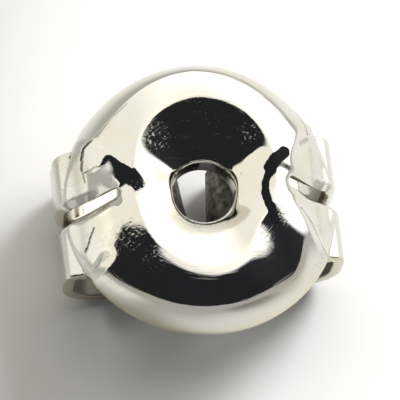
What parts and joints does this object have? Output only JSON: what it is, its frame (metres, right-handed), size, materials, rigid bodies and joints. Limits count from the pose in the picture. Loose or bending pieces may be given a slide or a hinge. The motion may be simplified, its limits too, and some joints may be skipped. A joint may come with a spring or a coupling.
{
  "type": "butterfly earring back",
  "caption": "Butterfly earring back stamped and rolled from one sheet: a dished face plate with a post hole, and slotted wings whose scrolls curl under it to grip the post.",
  "frame": {"origin": "on the axis of the post hole, level with the lowest points of the two scrolls, on which it rests", "axes": "+Z along the post hole, out of the dished face plate towards the ear; +X from the post hole out along one wing; +Y across the wings"},
  "size_m": [0.005, 0.0048, 0.0027],
  "materials": {
    "polished_white_gold": "18 carat white gold, rhodium finished and mirror polished, with fine handling scratches and a few pits"
  },
  "bodies": {
    "root": {"butterfly_back": "polished_white_gold"}
  },
  "joints": []
}
